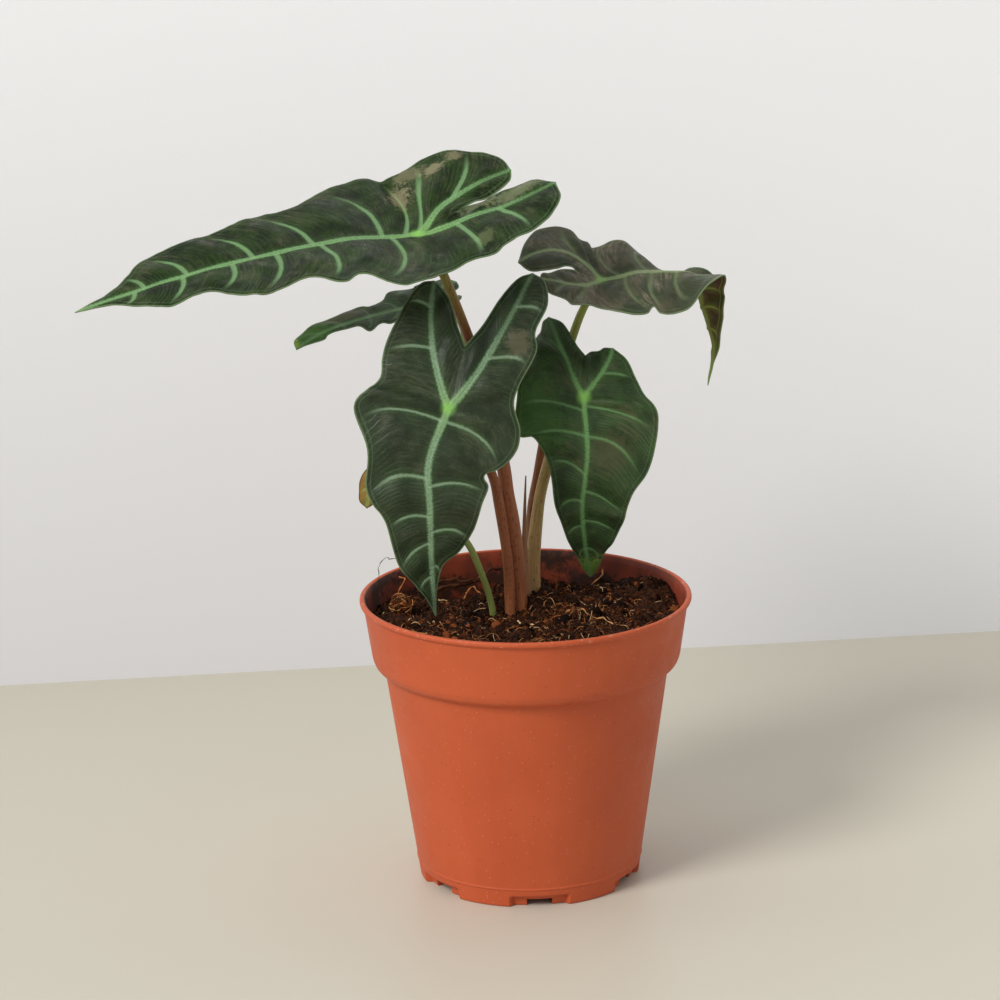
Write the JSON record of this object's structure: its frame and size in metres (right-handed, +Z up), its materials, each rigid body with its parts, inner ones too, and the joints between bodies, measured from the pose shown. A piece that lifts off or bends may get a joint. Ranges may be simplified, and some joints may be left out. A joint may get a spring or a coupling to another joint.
{
  "type": "potted alocasia",
  "caption": "Young arrow-leaved alocasia with pale ribs and scalloped dark blades, growing from a corm in a round terracotta-coloured nursery pot.",
  "frame": {"origin": "middle of the pot's underside, on the surface that the pot stands on", "axes": "+Z up, +X to the right and -Y towards someone who looks at the plant's front"},
  "size_m": [0.2277, 0.12, 0.2612],
  "materials": {
    "pot": "matte, finely speckled moulded plastic",
    "soil": "matte, moist peat and coir",
    "blade": "satin leaf with pale ribs",
    "old_blade": "matte leaf turning yellow",
    "red_petiole": "satin, speckled stem",
    "tan_petiole": "satin, speckled stem",
    "green_petiole": "satin, thin green stem",
    "sheath": "dry papery sheath",
    "corm": "matte corky skin"
  },
  "bodies": {
    "root": {"pot": "pot", "leaf_1_blade": "blade", "leaf_1_petiole": "red_petiole", "leaf_2_blade": "blade", "leaf_2_petiole": "red_petiole", "leaf_3_blade": "blade", "leaf_3_petiole": "tan_petiole", "leaf_4_blade": "blade", "leaf_4_petiole": "red_petiole", "leaf_5_blade": "blade", "leaf_5_petiole": "green_petiole", "leaf_6_blade": "old_blade", "leaf_6_petiole": "green_petiole", "bud_sheath": "sheath", "corm": "corm", "soil": "soil"}
  },
  "joints": []
}
